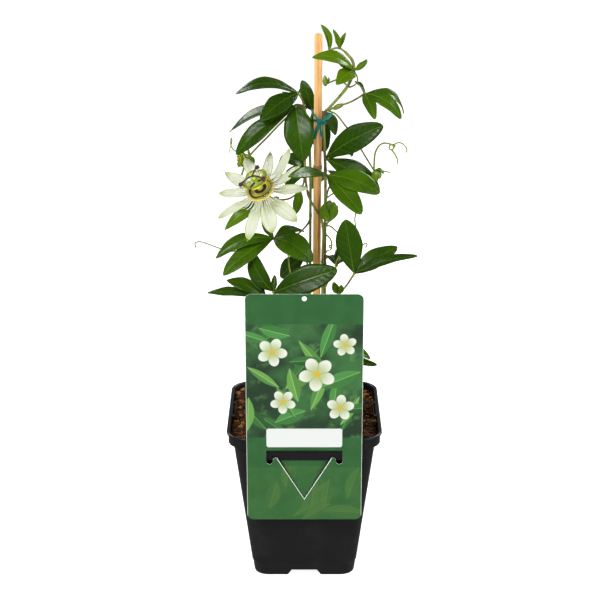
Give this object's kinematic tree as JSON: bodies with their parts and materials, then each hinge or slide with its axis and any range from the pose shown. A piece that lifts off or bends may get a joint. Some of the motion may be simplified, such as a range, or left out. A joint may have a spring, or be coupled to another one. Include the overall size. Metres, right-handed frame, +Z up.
{
  "type": "potted passion flower vine",
  "caption": "Climbing vine with palmate leaves, tendrils, buds and one open flower, tied to a cane in a square nursery pot with a hanging label.",
  "frame": {"origin": "centre of the pot's square base, on the surface it stands on", "axes": "+Z up along the plant, -Y towards the front with the label and the flower, +X to the right"},
  "size_m": [0.2112, 0.1524, 0.541],
  "materials": {
    "pot_plastic": "black moulded polypropylene, satin with fine scuffs",
    "peat": "crumbly moist brown peat",
    "bamboo": "tan bamboo, satin, faint length-wise streaks",
    "tie_band": "teal plastic tie band",
    "label_card": "printed plastic card with a plain green design, no lettering",
    "tepal": "soft matt petal, white with green-yellow edges",
    "corona": "fine white filaments, yellow at the base",
    "flower_disc": "yellow-green disc with a dark ring",
    "flower_green": "yellow-green, waxy",
    "flower_dark": "dark purple, waxy",
    "stem": "thin woody vine, green to brown",
    "leaf": "dark green glossy leaf with pale veins",
    "leaf_young": "bright green young leaf, satin",
    "bud": "green bud and bracts, satin"
  },
  "bodies": {
    "root": {"pot": "pot_plastic", "soil": "peat", "cane": "bamboo", "tie": "tie_band", "label": "label_card", "flower_tepals": "tepal", "flower_corona": "corona", "flower_disc": "flower_disc", "flower_column": "flower_green", "flower_styles": "flower_dark", "stem_right": "stem", "stem_left": "stem", "stem_twining": "stem", "leaf_01": "leaf_young", "leaf_02": "leaf_young", "leaf_03": "leaf", "leaf_04": "leaf", "leaf_05": "leaf", "leaf_06": "leaf", "leaf_07": "leaf", "leaf_08": "leaf", "leaf_09": "leaf", "leaf_10": "leaf_young", "leaf_11": "leaf", "leaf_12": "leaf", "leaf_13": "leaf", "leaf_14": "leaf", "leaf_15": "leaf", "leaf_16": "leaf", "leaf_17": "leaf", "leaf_18": "leaf", "leaf_19": "leaf", "leaf_20": "leaf", "leaf_21": "leaf", "bud_large": "bud", "bud_top": "bud", "bud_round": "bud", "bud_low": "bud", "flower_stalk": "bud"}
  },
  "joints": []
}
